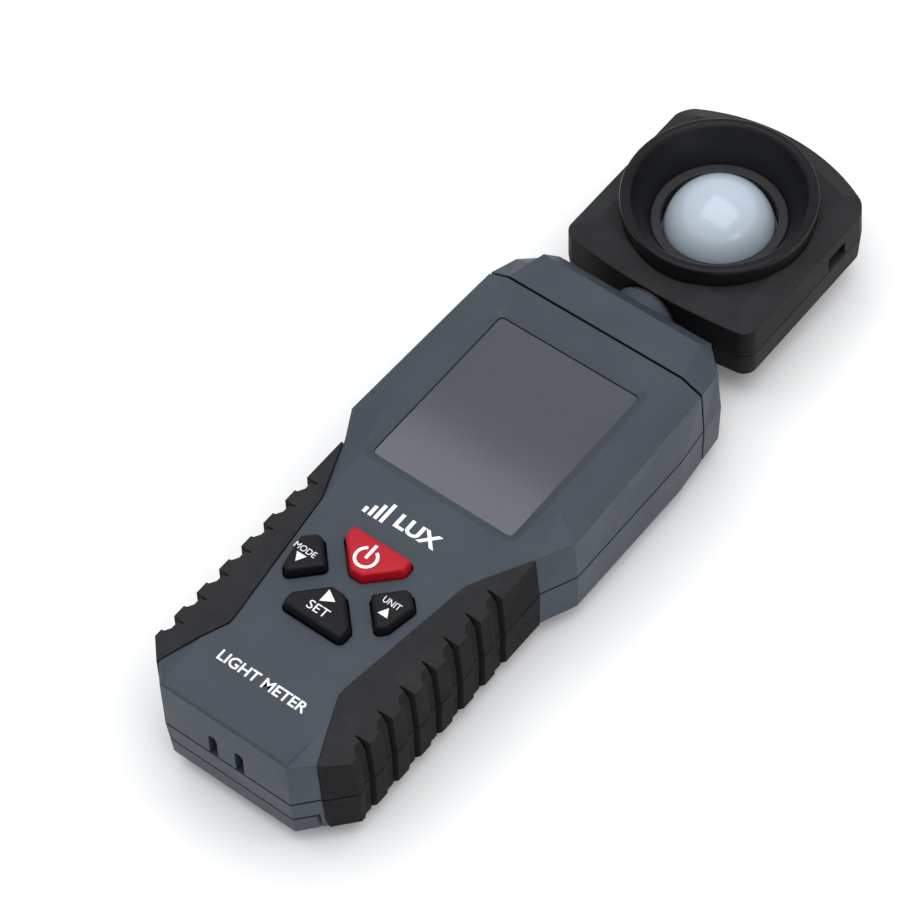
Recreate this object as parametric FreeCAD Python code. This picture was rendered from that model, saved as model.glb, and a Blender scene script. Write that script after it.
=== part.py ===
import FreeCAD, Part
import math
import os

V = FreeCAD.Vector

# Handheld light meter, lying on its back: +Y runs from the lanyard end to the sensor head, +Z is out of the
# front face, and the origin is at the middle of the bottom of the whole object's box. All lengths in mm.

# ---- driving dimensions ---------------------------------------------------------------------------------
BODY_END_Y = -82.5            # flat bottom end of the body
CAP_LINE_Y = 21.5             # joint between the covers and the end cap
CAP_END_Y = 33.5              # flat end face of the end cap
PARTING_Z = 13.8              # joint between the front and rear covers
CREASE_Z = 23.8               # where the side chamfer starts
FRONT_Z = 25.8                # front face
REAR_EDGE_Z = 4.35            # where the rear bevel starts
WALL = 2.2                    # thickness of the covers
GRIP_WALL = 3.9               # depth from outside to cavity where a grip lies over the cover
GRIP_DEPTH = 2.0              # thickness of a grip on the side
GRIP_RISE = 0.3               # how far a grip stands proud of the covers
SEAM = 0.12                   # gap at seams between fitted pieces
GROOVE_W = 0.52               # width of the visible shadow groove run along each seam
GROOVE_D = 1.3                # its depth
AXIS_Z = 13.4                 # height of the swivel axis, which runs along Y at x = 0
BOWL_Y = 59.4                 # centre of the light bowl

WINDOW_W = 30.9               # display window opening
WINDOW_Y0 = -22.9
WINDOW_Y1 = 14.2
WINDOW_BEVEL = 1.7
WINDOW_TOP_Z = 24.75

KEY_TOP_Z = 28.0
KEY_GAP = 0.3
KEY_TRAVEL = 0.6

BOARD_Z0 = 15.6
BOARD_Z1 = 17.2

CELL_R = 5.15
CELL_Z = 7.5
CELL_PITCH = 10.7
CELL_LENGTH = 44.5
CELL_NUB = 0.8
CONTACT_T = 0.4
BOTTOM_BULKHEAD_Y = -75.4
SPRING_WIRE_R = 0.3
BATTERY_ROOF_Z = 13.0
SPRING_BULKHEAD_Y = -26.0
BAY_HALF_W = 17.9             # half the width of the battery bay

DOOR_HALF_W = 16.3
DOOR_Z = 1.8
DOOR_LIP_Z = 8.4
DOOR_END_Y = -23.2
TONGUE = 1.0                  # how far the door's side tongues reach into the rear cover
TONGUE_Z = 0.9
TONGUE_START_Y = -71.0

RIB_PITCH = 6.0
RIB_COUNT = 7
RIB_FIRST_Y = -69.8
RIB_DEPTH = 0.68
RIB_CREST_X = 21.98            # outermost face of a grip, at the parting height

HEAD_HALF_W = 21.1
HEAD_NEAR_Y = 37.8
HEAD_FAR_Y = 82.5
HEAD_NEAR_BOW = 1.7           # how far the near corners stand back from the middle of the near edge
HEAD_FAR_BOW = 5.9            # the same at the far edge
HEAD_CORNER = 2.2             # length cut off along each side by a rounded corner
FLAT_HALF_W = 16.7            # flat top of the head
FLAT_NEAR_Y = 43.0
FLAT_FAR_Y = 78.0
HEAD_PARTING_Z = 13.0
HEAD_CREASE_Z = 19.35
HEAD_TOP_Z = 21.2
HEAD_LOW_Z = 7.2
HEAD_REAR_Z = 5.4
HEAD_WALL = 1.9

RIM_Z = 25.8
RIM_R = 18.35
RING_Z = 18.85
RING_R = 12.75
RING_HOLE_R = 10.8
DOME_R = 10.5
DOME_Z = 15.25
RING_FOOT_Z = 14.95
SKIRT_FOOT_Z = 20.55           # the bowl's skirt sits in a rebate in the flat top
SKIRT_R = 17.75

SHAFT_R = 4.0
SHAFT_BORE_R = 2.4
SHAFT_FIT = 0.06              # running clearance between the shaft and its bush
BUSH_R = 5.2
COLLAR_R = 6.4
COLLAR_END_Y = 36.8
WASHER_T = 0.6
LEAD_R = 1.3

BIG = 200.0


# ---- helpers --------------------------------------------------------------------------------------------
def box(x0, x1, y0, y1, z0, z1):
    return Part.makeBox(x1 - x0, y1 - y0, z1 - z0, V(x0, y0, z0))


def fuse(shapes):
    first = shapes[0]
    if len(shapes) == 1:
        return first
    return first.multiFuse(shapes[1:]).removeSplitter()


def group(shapes):
    return Part.makeCompound(shapes)


def mirror_x(shape):
    return shape.mirror(V(0, 0, 0), V(1, 0, 0))


def polygon_face(points, z):
    loop = [V(x, y, z) for x, y in points]
    return Part.Face(Part.makePolygon(loop + [loop[0]]))


def prism(points, z0, z1):
    return polygon_face(points, z0).extrude(V(0, 0, z1 - z0))


def cylinder(radius, length, base, direction):
    return Part.makeCylinder(radius, length, base, direction)


def tube(outer, inner, length, base, direction):
    return cylinder(outer, length, base, direction).cut(cylinder(inner, length, base, direction))


def is_flat(points):
    normal = (points[1] - points[0]).cross(points[2] - points[0])
    if normal.Length < 1e-9:
        return False
    normal.normalize()
    return abs((points[3] - points[0]).dot(normal)) < 1e-5


def side_faces(low, high):
    # Faces between two rings of corner points; a twisted panel becomes two flat triangles.
    faces = []
    count = len(low)
    for i in range(count):
        j = (i + 1) % count
        quad = [low[i], low[j], high[j], high[i]]
        if is_flat(quad):
            faces.append(Part.Face(Part.makePolygon(quad + [quad[0]])))
        else:
            for tri in ([low[i], low[j], high[j]], [low[i], high[j], high[i]]):
                if (tri[1] - tri[0]).cross(tri[2] - tri[0]).Length > 1e-6:
                    faces.append(Part.Face(Part.makePolygon(tri + [tri[0]])))
    return faces


def faceted(rings):
    # A solid bounded by flat facets through rings of corner points, closed at both ends.
    faces = [Part.Face(Part.makePolygon(rings[0] + [rings[0][0]]))]
    for low, high in zip(rings[:-1], rings[1:]):
        faces = faces + side_faces(low, high)
    faces.append(Part.Face(Part.makePolygon(rings[-1] + [rings[-1][0]])))
    solid = Part.makeSolid(Part.makeShell(faces))
    if solid.Volume < 0:
        solid.reverse()
    return solid


def mirrored_ring(half):
    right = [V(x, y, z) for x, y, z in half]
    left = [V(-p.x, p.y, p.z) for p in reversed(right)]
    return right + left


def rounded_polygon(points, radius, z):
    # Closed wire round a polygon with every corner rounded.
    count = len(points)
    ends = []
    for i in range(count):
        here = V(points[i][0], points[i][1], z)
        before = V(points[i - 1][0], points[i - 1][1], z) - here
        after = V(points[(i + 1) % count][0], points[(i + 1) % count][1], z) - here
        before.normalize()
        after.normalize()
        half_angle = before.getAngle(after) / 2.0
        reach = radius / math.tan(half_angle)
        middle = before + after
        middle.normalize()
        centre = here + middle * (radius / math.sin(half_angle))
        crown = centre - middle * radius
        ends.append((here + before * reach, crown, here + after * reach))
    edges = []
    for i in range(count):
        start, crown, stop = ends[i]
        edges.append(Part.Arc(start, crown, stop).toShape())
        following = ends[(i + 1) % count][0]
        edges.append(Part.LineSegment(stop, following).toShape())
    return Part.Wire(edges)


def revolve_z(profile, centre_x, centre_y):
    # Turn an (r, z) profile about the vertical line through the centre.
    loop = [V(centre_x + r, centre_y, z) for r, z in profile]
    face = Part.Face(Part.makePolygon(loop + [loop[0]]))
    return face.revolve(V(centre_x, centre_y, 0), V(0, 0, 1), 360)


def save(name, shape):
    shape.exportStep("parts/" + name + ".step")


# ---- body form ------------------------------------------------------------------------------------------
# Right half of each level, from the bottom end round to the end face of the cap. The eight corners are: end
# corner, side start, waist start, waist end, kink, cap line, cap shoulder, cap end corner.
LEVEL_REAR = [
    (12.2, -78.2), (17.2, -72.2), (17.2, -24.8), (20.4, -17.6),
    (20.4, 13.0), (19.8, CAP_LINE_Y), (19.4, 25.0), (15.9, 29.3)]
LEVEL_LOW = [
    (13.6, -82.05), (21.2, -73.5), (21.2, -24.1), (24.5, -16.9),
    (24.5, 13.5), (23.7, CAP_LINE_Y), (23.1, 27.3), (18.1, 33.3)]
LEVEL_PARTING = [
    (13.9, BODY_END_Y), (21.68, -73.75), (21.68, -24.0), (25.0, -16.85),
    (25.0, 13.7), (24.12, CAP_LINE_Y), (23.5, 27.6), (18.5, CAP_END_Y)]
LEVEL_CREASE = [
    (13.95, -82.05, 25.3), (21.32, -74.4, CREASE_Z), (21.32, -23.4, CREASE_Z), (24.8, -17.05, CREASE_Z),
    (23.95, 13.7, CREASE_Z), (23.67, CAP_LINE_Y, CREASE_Z), (22.5, 27.6, 22.4), (17.0, 33.4, 21.3)]
LEVEL_FRONT = [
    (13.6, -81.6), (14.2, -73.5), (16.1, -25.4), (19.54, -14.3),
    (19.46, 13.7), (19.4, CAP_LINE_Y), (18.2, 26.3), (17.4, 29.4)]

# Share of the side and end thickness taken off each corner in x and y for an even wall.
CORNER_X = [0.41, 1.0, 1.0, 1.0, 1.0, 1.0, 1.0, 0.5]
CORNER_Y = [1.0, 0.41, 0.1, 0.1, 0.0, 0.0, -0.5, -1.0]


def body_level(level, side, end, x_share, z_list):
    ring = []
    for i, point in enumerate(level):
        x = point[0] - side * CORNER_X[i] * x_share
        y = point[1] + end * CORNER_Y[i] * x_share
        ring.append((x, y, z_list[i]))
    return mirrored_ring(ring)


def body_form(side, front, rear, end):
    # The whole body as one faceted solid, brought in by the given thicknesses (negative grows it).
    count = len(LEVEL_REAR)
    crease_z = [point[2] - 0.75 * max(front, side) for point in LEVEL_CREASE]
    if side < 0:
        crease_z = [point[2] - 0.9 * front for point in LEVEL_CREASE]
    rings = [
        body_level(LEVEL_REAR, side, end, 0.41, [rear] * count),
        body_level(LEVEL_LOW, side, end, 1.0, [REAR_EDGE_Z + 0.41 * rear] * count),
        body_level(LEVEL_PARTING, side, end, 1.0, [PARTING_Z] * count),
        body_level(LEVEL_CREASE, side, end, 1.0, crease_z),
        body_level(LEVEL_FRONT, side, end, 0.3, [FRONT_Z - front] * count)]
    return faceted(rings)


OUTER = body_form(0.0, 0.0, 0.0, 0.0)
NARROW_Y = -21.4              # where the inside narrows, just above the grips


def cavity():
    # Space inside the two covers: roomy by the display, narrower where the grips lie over the covers.
    wide = body_form(WALL, WALL, WALL, WALL)
    wide = wide.common(box(-BIG, BIG, NARROW_Y - 0.1, CAP_LINE_Y + 1.0, -BIG, BIG))
    narrow = body_form(GRIP_WALL, WALL, WALL, WALL)
    narrow = narrow.common(box(-BIG, BIG, -BIG, NARROW_Y, -BIG, BIG))
    return fuse([wide, narrow])


CAVITY = cavity()


def parting_groove():
    # Shadow groove round the joint between the front and rear halves, covers and grips alike.
    slab = box(-BIG, BIG, -BIG, CAP_LINE_Y, PARTING_Z - GROOVE_W / 2.0, PARTING_Z + GROOVE_W / 2.0)
    return slab.cut(body_form(GROOVE_D, GROOVE_D, GROOVE_D, GROOVE_D))


def cap_groove():
    slab = box(-BIG, BIG, CAP_LINE_Y - GROOVE_W / 2.0, CAP_LINE_Y + GROOVE_W / 2.0, -BIG, BIG)
    return slab.cut(body_form(GROOVE_D, GROOVE_D, GROOVE_D, GROOVE_D))


PARTING_GROOVE = parting_groove()
CAP_GROOVE = cap_groove()


# ---- grips ----------------------------------------------------------------------------------------------
def grip_plan(gap):
    # Outline of the right grip seen from the front.
    return [
        (30.0, -23.8 - gap), (21.3, -23.8 - gap), (15.7 + gap, -36.2), (12.1 + gap, -64.3),
        (12.1 + gap, -65.8), (14.3 + gap, -70.9), (17.4 + gap, -78.3), (30.0, -90.9)]


def rear_grip_plan(gap):
    return [
        (30.0, -23.8 - gap), (18.9 + gap, -23.8 - gap), (18.9 + gap, -75.4), (17.4 + gap, -78.3),
        (30.0, -90.9)]


KNEE_Z = 22.9                 # height at which a groove leaves the side and leans in over the chamfer
RIB_FALL = 0.3                # run of the step from a crest down to the groove floor, on the bottom-end side
RIB_FLOOR = 1.9               # length of the groove floor
RIB_CLIMB = 1.15              # run of the slope back up to the next crest
RIB_SLOT_W = 0.45             # narrow slot along the foot of each step
RIB_SLOT_D = 1.0
SIDE_LEAN = 0.33              # how far the side leans in between the parting height and the knee
LOW_LEAN = 0.75               # and between the parting height and the back
RUN_OUT = V(-3.0, 0, 5.4)     # direction in which the grooves run out over the chamfer


def groove_section(foot_y):
    # Plan of one groove between two crests, at the parting height: slope, flat floor, slot, step.
    far = 40.0
    lip_x = RIB_CREST_X + 0.1
    floor_x = RIB_CREST_X - RIB_DEPTH
    slot_x = floor_x - RIB_SLOT_D
    start_y = foot_y - RIB_FLOOR - RIB_CLIMB
    end_y = foot_y + RIB_FALL
    corners = [
        V(far, start_y, 0), V(lip_x, start_y, 0), V(floor_x, foot_y - RIB_FLOOR, 0),
        V(floor_x, foot_y - RIB_SLOT_W, 0), V(slot_x, foot_y - RIB_SLOT_W * 0.8, 0),
        V(slot_x, foot_y - RIB_SLOT_W * 0.2, 0), V(lip_x, end_y, 0), V(far, end_y, 0)]
    return Part.Face(Part.makePolygon(corners + [corners[0]]))


def rib_cutter():
    # The grooves follow the lean of the side down to the back and up to the knee, then run out.
    pieces = []
    for i in range(RIB_COUNT):
        middle = groove_section(RIB_FIRST_Y + RIB_PITCH * i)
        middle.translate(V(0, 0, PARTING_Z))
        knee = middle.copy()
        knee.translate(V(-SIDE_LEAN, 0, KNEE_Z - PARTING_Z))
        lower = middle.extrude(V(-LOW_LEAN, 0, -PARTING_Z))
        upper = middle.extrude(V(-SIDE_LEAN, 0, KNEE_Z - PARTING_Z))
        pieces.append(fuse([lower, upper, knee.extrude(RUN_OUT)]))
    return group(pieces)


def grip_right(front):
    envelope = body_form(-GRIP_RISE, -GRIP_RISE, -GRIP_RISE, -GRIP_RISE)
    core = body_form(GRIP_DEPTH, 1.3, 1.4, GRIP_DEPTH)
    if front:
        region = prism(grip_plan(SEAM), PARTING_Z + SEAM / 2.0, BIG)
    else:
        region = prism(rear_grip_plan(SEAM), -1.0, PARTING_Z - SEAM / 2.0)
    grip = envelope.common(region).cut(core)
    return grip.cut(rib_cutter()).cut(PARTING_GROOVE)


def grip_pocket(front):
    # What the covers give up to make room for the right grip.
    core = body_form(GRIP_DEPTH, 1.3, 1.4, GRIP_DEPTH)
    if front:
        region = prism(grip_plan(0.0), PARTING_Z - 1.0, BIG)
    else:
        region = prism(rear_grip_plan(0.0), -1.0, PARTING_Z + 1.0)
    return region.cut(core)


# ---- keys -----------------------------------------------------------------------------------------------
# Outlines about the middle of the key group, which sits a little to the left of the body's centre line.
KEY_X = -0.38
POWER_PLAN = [(-6.55, -38.2), (6.55, -38.2), (6.55, -40.7), (1.3, -45.95), (-1.3, -45.95), (-6.55, -40.7)]
SET_PLAN = [(-6.5, -58.1), (6.5, -58.1), (6.5, -55.3), (1.45, -50.25), (-1.45, -50.25), (-6.5, -55.3)]
MODE_PLAN = [
    (-11.5, -51.4), (-12.6, -45.4), (-10.45, -43.3), (-9.15, -43.3), (-4.8, -47.8), (-10.0, -53.0)]
UNIT_PLAN = [(-x, y) for x, y in reversed(MODE_PLAN)]
KEYS = {
    "power_button": (POWER_PLAN, 0.9), "set_button": (SET_PLAN, 1.0),
    "mode_button": (MODE_PLAN, 0.75), "unit_button": (UNIT_PLAN, 0.75)}
SWITCHES = {
    "power_button": (KEY_X, -40.6), "set_button": (KEY_X, -55.2),
    "mode_button": (KEY_X - 9.5, -48.1), "unit_button": (KEY_X + 9.5, -48.1)}
FLANGE_T = 0.9
FLANGE_TOP_Z = FRONT_Z - WALL - 0.1
STEM_Z = 21.9
SWITCH_TOP_Z = STEM_Z - KEY_TRAVEL - 0.05


def grown(plan, radius, amount, z):
    wire = rounded_polygon([(x + KEY_X, y) for x, y in plan], radius, z)
    if amount == 0:
        return wire
    return wire.makeOffset2D(amount)


def key_opening(name):
    plan, radius = KEYS[name]
    face = Part.Face(grown(plan, radius, KEY_GAP, FRONT_Z - WALL - 2.0))
    return face.extrude(V(0, 0, WALL + 4.0))


def key(name):
    plan, radius = KEYS[name]
    base_z = FLANGE_TOP_Z - FLANGE_T
    flange = Part.Face(grown(plan, radius, 0.75, base_z)).extrude(V(0, 0, FLANGE_T))
    shank = Part.Face(grown(plan, radius, 0.0, base_z)).extrude(V(0, 0, FRONT_Z - base_z))
    low = grown(plan, radius, 0.0, FRONT_Z)
    middle = grown(plan, radius, -0.12, KEY_TOP_Z - 0.55)
    shoulder = grown(plan, radius, -0.28, KEY_TOP_Z - 0.18)
    crown = grown(plan, radius, -0.62, KEY_TOP_Z)
    cap = Part.makeLoft([low, middle], True, True)
    brow = Part.makeLoft([middle, shoulder], True, True)
    top = Part.makeLoft([shoulder, crown], True, True)
    x, y = SWITCHES[name]
    stem = cylinder(1.6, base_z - STEM_Z, V(x, y, STEM_Z), V(0, 0, 1))
    return fuse([flange, shank, cap, brow, top, stem])


# ---- covers ---------------------------------------------------------------------------------------------
SCREW_X = 18.3
SCREW_YS = [-11.5, 12.0]
CASE_BOSS_R = 2.1             # pillar round each case screw
CASE_SEAT_Z = 2.88            # where the heads of the case screws bear
CASE_RECESS_R = 2.15
CLEARANCE_R = 1.15            # clearance hole for the shank of a case screw
PILOT_R = 0.85                # hole that a case or head screw threads into
SCREW_SHANK_R = 0.83
BOARD_BOSS_R = 1.8
BOARD_PILOT_R = 0.65
BOARD_SCREWS = [(13.2, -28.5), (-13.2, -28.5), (12.6, 17.5), (-12.6, 17.5), (9.5, -64.0), (-9.5, -64.0)]
SLOT_X = 2.9
SLOT_W = 1.9
SLOT_TOP_Z = 18.4


def window_cut():
    # Soft bevel down to the window, the seat for the pane, and the smaller opening behind it.
    half = WINDOW_W / 2.0
    low_z = WINDOW_TOP_Z + 0.25
    lower = rounded_polygon(
        [(-half, WINDOW_Y0), (half, WINDOW_Y0), (half, WINDOW_Y1), (-half, WINDOW_Y1)], 0.9, low_z)
    upper = lower.makeOffset2D(WINDOW_BEVEL)
    upper.translate(V(0, 0, FRONT_Z - low_z + 0.01))
    bevel = Part.makeLoft([lower, upper], True, True)
    seat = Part.Face(lower).extrude(V(0, 0, -(low_z - WINDOW_TOP_Z + 1.55)))
    through = box(-half + 1.6, half - 1.6, WINDOW_Y0 + 1.6, WINDOW_Y1 - 1.6, 20.0, 25.0)
    return fuse([bevel, seat, through])


def lanyard_slot(x):
    half = SLOT_W / 2.0
    low = box(x - half, x + half, BODY_END_Y - 1.0, BODY_END_Y + WALL + 1.2, PARTING_Z - 1.0, SLOT_TOP_Z)
    arch = cylinder(half, WALL + 2.2, V(x, BODY_END_Y - 1.0, SLOT_TOP_Z), V(0, 1, 0))
    return low.fuse(arch)


def lanyard_pocket():
    # Small blind pocket behind the two slots, so that a cord can pass round the bar between them.
    outer = box(-6.2, 6.2, BODY_END_Y + 1.5, -75.6, PARTING_Z + 0.1, 21.0)
    inner = box(-5.2, 5.2, BODY_END_Y + WALL, -76.6, PARTING_Z - 0.1, 19.9)
    return outer, inner


def front_cover():
    half = OUTER.common(box(-BIG, BIG, -BIG, CAP_LINE_Y - SEAM / 2.0, PARTING_Z + SEAM / 2.0, BIG))
    shell = half.cut(CAVITY)
    additions = []
    for x in (-SCREW_X, SCREW_X):
        for y in SCREW_YS:
            additions.append(cylinder(CASE_BOSS_R, 9.0, V(x, y, PARTING_Z + 1.0), V(0, 0, 1)))
    pillar = FRONT_Z - WALL - BOARD_Z1 + 0.5
    for x, y in BOARD_SCREWS:
        additions.append(cylinder(BOARD_BOSS_R, pillar, V(x, y, BOARD_Z1), V(0, 0, 1)))
    pocket_wall, pocket = lanyard_pocket()
    additions.append(pocket_wall.common(OUTER))
    shell = fuse([shell] + additions).common(half)
    cuts = [window_cut(), pocket, lanyard_slot(-SLOT_X), lanyard_slot(SLOT_X)]
    for name in KEYS:
        cuts.append(key_opening(name))
    cuts.append(grip_pocket(True))
    cuts.append(mirror_x(grip_pocket(True)))
    for x in (-SCREW_X, SCREW_X):
        for y in SCREW_YS:
            cuts.append(cylinder(PILOT_R, 8.0, V(x, y, PARTING_Z), V(0, 0, 1)))
    for x, y in BOARD_SCREWS:
        cuts.append(cylinder(BOARD_PILOT_R, 4.5, V(x, y, BOARD_Z1 - 0.1), V(0, 0, 1)))
    cuts.append(PARTING_GROOVE)
    cuts.append(CAP_GROOVE)
    for cut in cuts:
        shell = shell.cut(cut)
    return shell


def door_groove():
    # Shadow groove in the rear cover along the edge of the door's end lip.
    w = DOOR_HALF_W + GROOVE_W
    block = box(-w, w, -BIG, -70.0, -1.0, DOOR_LIP_Z + GROOVE_W)
    return block.cut(body_form(GROOVE_D, GROOVE_D, GROOVE_D, GROOVE_D))


def door_space(gap):
    # Room taken by the battery door: floor plate, side tongues and end lip.
    # The slots for the tongues run out through the bottom end, so that the door can be drawn off.
    w = DOOR_HALF_W + gap
    tongue_start = TONGUE_START_Y if gap == 0 else -BIG
    floor = box(-w, w, -BIG, DOOR_END_Y + gap, -1.0, DOOR_Z + gap)
    tongues = box(-w - TONGUE, w + TONGUE, tongue_start, DOOR_END_Y + gap, TONGUE_Z - gap, DOOR_Z + gap)
    lip = box(-w, w, -BIG, BODY_END_Y + 7.0, -1.0, DOOR_LIP_Z + gap)
    if gap > 0:
        lip = lip.fuse(door_groove())
    return floor, tongues, lip


def rear_cover():
    half = OUTER.common(box(-BIG, BIG, -BIG, CAP_LINE_Y - SEAM / 2.0, -1.0, PARTING_Z - SEAM / 2.0))
    shell = half.cut(CAVITY)
    additions = [
        box(-BAY_HALF_W, BAY_HALF_W, -77.4, SPRING_BULKHEAD_Y + 1.0, BATTERY_ROOF_Z, PARTING_Z - SEAM / 2.0),
        box(-BAY_HALF_W, BAY_HALF_W, SPRING_BULKHEAD_Y, SPRING_BULKHEAD_Y + 1.0, 1.0, BATTERY_ROOF_Z + 0.2),
        box(-14.6, 14.6, BOTTOM_BULKHEAD_Y - 1.0, BOTTOM_BULKHEAD_Y, 1.0, BATTERY_ROOF_Z + 0.2)]
    for side in (-1, 1):
        rail = box(DOOR_HALF_W - 0.4, DOOR_HALF_W + 2.2, -71.5, DOOR_END_Y + 1.4, 1.0, 2.9)
        additions.append(rail if side > 0 else mirror_x(rail))
    additions.append(box(-18.4, 18.4, DOOR_END_Y - 0.4, DOOR_END_Y + 1.4, 1.0, 2.9))
    for x in (-SCREW_X, SCREW_X):
        for y in SCREW_YS:
            additions.append(cylinder(CASE_RECESS_R + 0.75, 6.0, V(x, y, 1.0), V(0, 0, 1)))
            additions.append(cylinder(CASE_BOSS_R, PARTING_Z - 2.0, V(x, y, 1.5), V(0, 0, 1)))
    shell = fuse([shell] + additions).common(half)
    floor, tongues, lip = door_space(SEAM)
    inner_lip = body_form(GRIP_WALL, WALL, WALL, WALL)
    lip = lip.cut(inner_lip).cut(box(-BIG, BIG, -76.5, BIG, -BIG, BIG))
    cuts = [floor, tongues, lip]
    cuts.append(grip_pocket(False))
    cuts.append(mirror_x(grip_pocket(False)))
    for x in (-SCREW_X, SCREW_X):
        for y in SCREW_YS:
            cuts.append(cylinder(CASE_RECESS_R, CASE_SEAT_Z + 0.52, V(x, y, -0.5), V(0, 0, 1)))
            cuts.append(cylinder(CLEARANCE_R, PARTING_Z + 1.0, V(x, y, -0.5), V(0, 0, 1)))
    cuts.append(PARTING_GROOVE)
    cuts.append(CAP_GROOVE)
    for cut in cuts:
        shell = shell.cut(cut)
    return shell


def battery_door():
    floor, tongues, lip = door_space(0.0)
    inner_lip = body_form(GRIP_WALL, WALL, WALL, WALL)
    plate = OUTER.common(floor.fuse(tongues))
    wall = OUTER.common(lip).cut(inner_lip).cut(box(-BIG, BIG, -76.6, BIG, DOOR_Z - 0.2, BIG))
    door = fuse([plate, wall])
    ribs = []
    for i in range(5):
        y = -70.0 + 2.2 * i
        ribs.append(box(-6.0, 6.0, y, y + 1.1, -0.1, 0.45))
    for rib in ribs:
        door = door.cut(rib)
    return door


def top_cap():
    outer = OUTER.common(box(-BIG, BIG, CAP_LINE_Y + SEAM / 2.0, BIG, -1.0, BIG))
    inner = body_form(WALL, WALL, WALL, WALL)
    shell = outer.cut(inner)
    collar = cylinder(COLLAR_R, COLLAR_END_Y - CAP_END_Y + 1.0, V(0, CAP_END_Y - 1.0, AXIS_Z), V(0, 1, 0))
    hub = cylinder(COLLAR_R + 0.6, 2.0, V(0, CAP_END_Y - WALL - 1.4, AXIS_Z), V(0, 1, 0))
    spigot_out = body_form(WALL + 0.15, WALL + 0.15, WALL + 0.15, WALL)
    spigot_in = body_form(WALL + 1.2, WALL + 1.2, WALL + 1.2, WALL)
    spigot = spigot_out.cut(spigot_in).common(box(-BIG, BIG, CAP_LINE_Y - 1.8, CAP_LINE_Y + 1.2, -BIG, BIG))
    joined = box(-BIG, BIG, CAP_LINE_Y - 1.8, CAP_LINE_Y + 0.1, -BIG, BIG)
    root = body_form(WALL - 0.2, WALL - 0.2, WALL - 0.2, WALL).cut(spigot_in)
    root = root.common(box(-BIG, BIG, CAP_LINE_Y + SEAM / 2.0, CAP_LINE_Y + 1.2, -BIG, BIG))
    stop = stop_sector(
        STOP_R0, STOP_R1, STOP_MID - STOP_HALF, STOP_MID + STOP_HALF, STOP_Y0 - 0.2, CAP_END_Y - WALL + 0.1)
    cap = fuse([shell, collar, hub, spigot, root, stop])
    bore = cylinder(BUSH_R, 12.0, V(0, 29.0, AXIS_Z), V(0, 1, 0))
    return cap.cut(bore).cut(CAP_GROOVE)


# ---- swivel ---------------------------------------------------------------------------------------------
STOP_MID = -135.0             # middle of the fixed stop, in degrees about the swivel axis
STOP_HALF = 30.0
STOP_R0 = 6.8
STOP_R1 = 8.6
STOP_Y0 = 27.6                # inner face of the stop plate
STOP_PLATE_T = 1.6
TAB_MID = 90.0                # the tab points up at rest, which leaves 90 degrees one way and 180 the other
TAB_HALF = 14.5
FLAT_HALF = 3.3               # half the distance across the two flats that key the stop plate to the shaft
CLIP_Y = 26.7


def stop_sector(r0, r1, a0, a1, y0, y1):
    # Part of a ring about the swivel axis, between two angles measured from +X towards +Z.
    start = math.radians(a0)
    middle = math.radians((a0 + a1) / 2.0)
    end = math.radians(a1)

    def at(r, a):
        return V(r * math.cos(a), y0, AXIS_Z + r * math.sin(a))

    edges = [
        Part.LineSegment(at(r0, start), at(r1, start)).toShape(),
        Part.Arc(at(r1, start), at(r1, middle), at(r1, end)).toShape(),
        Part.LineSegment(at(r1, end), at(r0, end)).toShape(),
        Part.Arc(at(r0, end), at(r0, middle), at(r0, start)).toShape()]
    return Part.Face(Part.Wire(edges)).extrude(V(0, y1 - y0, 0))


def neck_bush():
    start_y = CAP_END_Y - WALL - 1.4
    return tube(BUSH_R - 0.02, SHAFT_R + SHAFT_FIT, COLLAR_END_Y - start_y, V(0, start_y, AXIS_Z), V(0, 1, 0))


def shaft_flats():
    # What is taken off the inner end of the shaft to leave two flats.
    upper = box(-5.0, 5.0, 20.0, STOP_Y0 + STOP_PLATE_T, AXIS_Z + FLAT_HALF, AXIS_Z + 10.0)
    lower = box(-5.0, 5.0, 20.0, STOP_Y0 + STOP_PLATE_T, AXIS_Z - 10.0, AXIS_Z - FLAT_HALF)
    return upper.fuse(lower)


def neck_shaft():
    barrel = cylinder(SHAFT_R, 18.5, V(0, 25.6, AXIS_Z), V(0, 1, 0))
    flange = cylinder(4.9, 1.8, V(0, HEAD_NEAR_Y + HEAD_WALL + 0.5, AXIS_Z), V(0, 1, 0))
    shaft = fuse([barrel, flange])
    groove = tube(SHAFT_R + 1.0, SHAFT_R - 0.9, 0.7, V(0, CLIP_Y - 0.05, AXIS_Z), V(0, 1, 0))
    bore = cylinder(SHAFT_BORE_R, 30.0, V(0, 20.0, AXIS_Z), V(0, 1, 0))
    return shaft.cut(shaft_flats()).cut(groove).cut(bore)


def stop_plate():
    # Disc keyed to the shaft; its tab meets the fixed stop in the cap at each end of the turn.
    disc = cylinder(6.4, STOP_PLATE_T - 0.1, V(0, STOP_Y0, AXIS_Z), V(0, 1, 0))
    tab = stop_sector(
        SHAFT_R + 1.0, STOP_R1 - 0.4, TAB_MID - TAB_HALF, TAB_MID + TAB_HALF,
        STOP_Y0, STOP_Y0 + STOP_PLATE_T - 0.1)
    hole = cylinder(SHAFT_R + 0.04, 4.0, V(0, STOP_Y0 - 1.0, AXIS_Z), V(0, 1, 0))
    across = FLAT_HALF + 0.04
    hole = hole.common(box(-5.0, 5.0, STOP_Y0 - 2.0, STOP_Y0 + 4.0, AXIS_Z - across, AXIS_Z + across))
    return fuse([disc, tab]).cut(hole)


def retaining_clip():
    ring = tube(6.2, SHAFT_R - 0.86, 0.6, V(0, CLIP_Y, AXIS_Z), V(0, 1, 0))
    mouth = box(-2.4, 2.4, CLIP_Y - 1.0, CLIP_Y + 2.0, AXIS_Z - 8.0, AXIS_Z)
    return ring.cut(mouth)


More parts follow.
